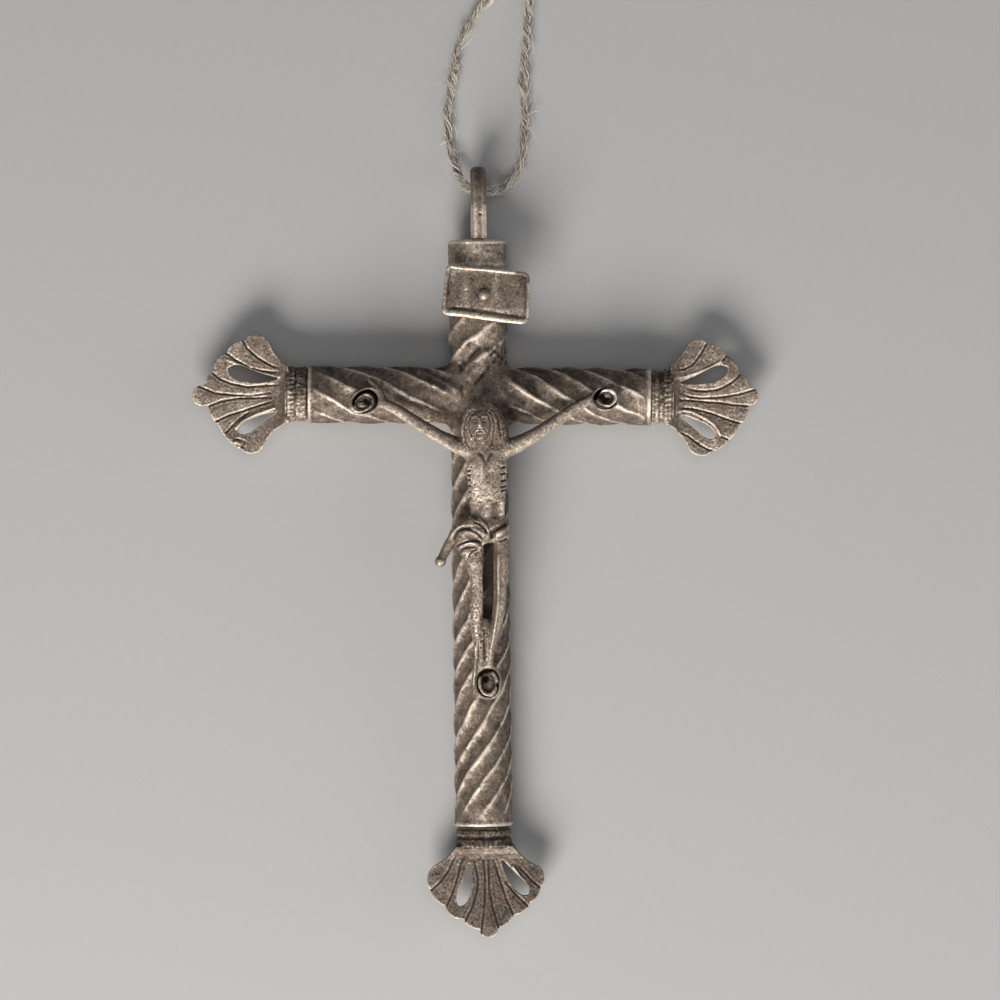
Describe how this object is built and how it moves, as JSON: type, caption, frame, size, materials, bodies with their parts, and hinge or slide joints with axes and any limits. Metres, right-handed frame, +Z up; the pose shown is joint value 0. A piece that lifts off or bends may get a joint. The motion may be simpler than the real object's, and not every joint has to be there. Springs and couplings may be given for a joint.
{
  "type": "crucifix pendant",
  "caption": "Crucifix pendant lying on its back: a cross of twisted silver tube with pierced shell finials, a small pinned figure, a bare plate and a loop of twine through the hanging loop.",
  "frame": {"origin": "The point on the surface that the pendant lies on, under the middle of its box without the twine.", "axes": "+X towards the right arm, +Y along the upright towards the hanging loop, +Z up out of the figure's front."},
  "size_m": [0.085, 0.1587, 0.0147],
  "materials": {
    "silver": "tarnished cast silver, brown-grey in the hollows",
    "worn_silver": "tarnished silver, worn bright on the raised edges",
    "twine": "loose plied twine, grey-beige"
  },
  "bodies": {
    "root": {"cross_tube": "silver", "top_cap": "silver", "hanging_loop": "worn_silver", "finial_left": "silver", "finial_right": "silver", "finial_bottom": "silver", "title_plate": "silver", "title_pin": "worn_silver", "figure": "worn_silver", "nail_left": "worn_silver", "nail_right": "worn_silver", "nail_feet": "worn_silver", "hanging_cord": "twine", "cord_knot": "twine"}
  },
  "joints": []
}
